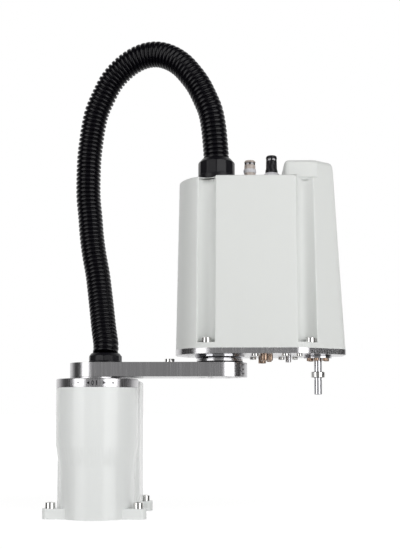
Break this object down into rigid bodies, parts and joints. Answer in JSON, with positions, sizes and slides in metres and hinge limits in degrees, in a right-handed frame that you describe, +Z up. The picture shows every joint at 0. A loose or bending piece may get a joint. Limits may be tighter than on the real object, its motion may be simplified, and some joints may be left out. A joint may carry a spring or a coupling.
{
  "type": "scara robot",
  "caption": "Small four-axis arm robot: bolted base, flat first arm, covered second arm with a sliding, turning tool shaft, and a cable duct looped over both arms.",
  "frame": {"origin": "on the first arm axis at the base's mounting face", "axes": "+X along both arms towards the tool shaft, +Y towards the connector panel at the rear, +Z up"},
  "size_m": [0.304, 0.118, 0.5004],
  "materials": {
    "cast_white": "satin enamel over cast aluminium",
    "cover_white": "fine satin moulding",
    "milled_aluminium": "milled, fine tool marks",
    "bright_screws": "bright plated",
    "bronzed_screws": "brown passivated",
    "ground_steel": "ground",
    "black_nylon": "satin",
    "duct_black": "satin, corrugated",
    "ivory_plastic": "moulded",
    "pale_plastic": "moulded",
    "plated_shell": "nickel plated",
    "motor_enamel": "black enamel",
    "pulley_aluminium": "turned",
    "belt_rubber": "moulded",
    "amber_lens": "clear moulded",
    "red_plastic": "moulded"
  },
  "bodies": {
    "base": {"base_casting": "cast_white", "base_bolts": "bright_screws", "j1_zero_ring": "milled_aluminium", "rear_panel": "milled_aluminium", "rear_panel_screws": "bright_screws", "power_connector": "black_nylon", "signal_connector": "plated_shell", "base_user_connector": "plated_shell", "base_air_ports": "black_nylon", "j1_motor": "motor_enamel", "j1_reducer": "ground_steel"},
    "arm_1": {"j1_output_hub": "milled_aluminium", "arm_1_plate": "milled_aluminium", "j1_hub_screws": "bright_screws", "arm_1_duct_gland": "black_nylon", "j2_stop_post": "bright_screws", "j2_output_flange": "milled_aluminium", "j2_flange_screws": "bright_screws", "cable_duct": "duct_black"},
    "arm_2": {"arm_2_plate": "milled_aluminium", "j2_reducer": "ground_steel", "j2_motor": "motor_enamel", "j2_stop_screws": "bronzed_screws", "underside_screws": "bright_screws", "underside_standoff": "milled_aluminium", "head_cover": "cover_white", "cover_screws": "bright_screws", "head_duct_gland": "black_nylon", "air_fitting_white": "ivory_plastic", "air_fitting_black": "black_nylon", "fitting_grommet": "pale_plastic", "head_user_connector": "plated_shell", "status_lamp": "amber_lens", "brake_switch_housing": "black_nylon", "drive_bracket": "milled_aluminium", "j3_motor": "motor_enamel", "j3_brake": "motor_enamel", "j4_motor": "motor_enamel", "j3_belt": "belt_rubber", "j4_belt": "belt_rubber", "spline_bearing": "ground_steel", "ball_nut_bearing": "ground_steel"},
    "spline_drive": {"spline_nut": "ground_steel", "spline_flange_screws": "bright_screws", "j4_pulley": "pulley_aluminium"},
    "ball_screw_nut": {"ball_nut": "ground_steel", "j3_pulley": "pulley_aluminium"},
    "tool_shaft": {"shaft": "ground_steel", "lower_stop_collar": "ground_steel", "upper_stop_collar": "ground_steel"},
    "j3_motor_drive": {"j3_motor_pulley": "pulley_aluminium"},
    "j4_motor_drive": {"j4_motor_pulley": "pulley_aluminium"},
    "brake_release": {"brake_button": "red_plastic"}
  },
  "joints": [
    {"name": "j1_turn", "type": "hinge", "parent": "base", "child": "arm_1", "pos_m": [0, 0, 0.14], "axis": [0, 0, 1], "range_deg": [-215, 35]},
    {"name": "j2_turn", "type": "hinge", "parent": "arm_1", "child": "arm_2", "pos_m": [0.125, 0, 0.16], "axis": [0, 0, 1], "range_deg": [-140, 140], "deforming": ["cable_duct"]},
    {"name": "j4_turn", "type": "hinge", "parent": "arm_2", "child": "spline_drive", "pos_m": [0.225, 0, 0.17], "axis": [0, 0, 1], "range_deg": [-360, 360]},
    {"name": "j3_travel", "type": "slide", "parent": "spline_drive", "child": "tool_shaft", "axis": [0, 0, -1], "range_m": [0, 0.1]},
    {"name": "ball_nut_turn", "type": "hinge", "parent": "spline_drive", "child": "ball_screw_nut", "pos_m": [0.225, 0, 0.17], "axis": [0, 0, 1], "range_deg": [0, 4501]},
    {"name": "j3_motor_turn", "type": "hinge", "parent": "arm_2", "child": "j3_motor_drive", "pos_m": [0.178, 0.019, 0.2], "axis": [0, 0, 1], "range_deg": [0, 8001]},
    {"name": "j4_motor_turn", "type": "hinge", "parent": "arm_2", "child": "j4_motor_drive", "pos_m": [0.178, -0.019, 0.2], "axis": [0, 0, 1], "range_deg": [-720, 720]},
    {"name": "brake_button_push", "type": "slide", "parent": "arm_2", "child": "brake_release", "axis": [0, 0, -1], "range_m": [0, 0.0015], "stiffness_N_per_m": 800, "springref_m": -0.0005}
  ],
  "couplings": [
    {"joint": "ball_nut_turn", "follows": "j3_travel", "rad_per_m": 785.4},
    {"joint": "j3_motor_turn", "follows": "j3_travel", "rad_per_m": 1396.3},
    {"joint": "j4_motor_turn", "follows": "j4_turn", "ratio": 2}
  ]
}
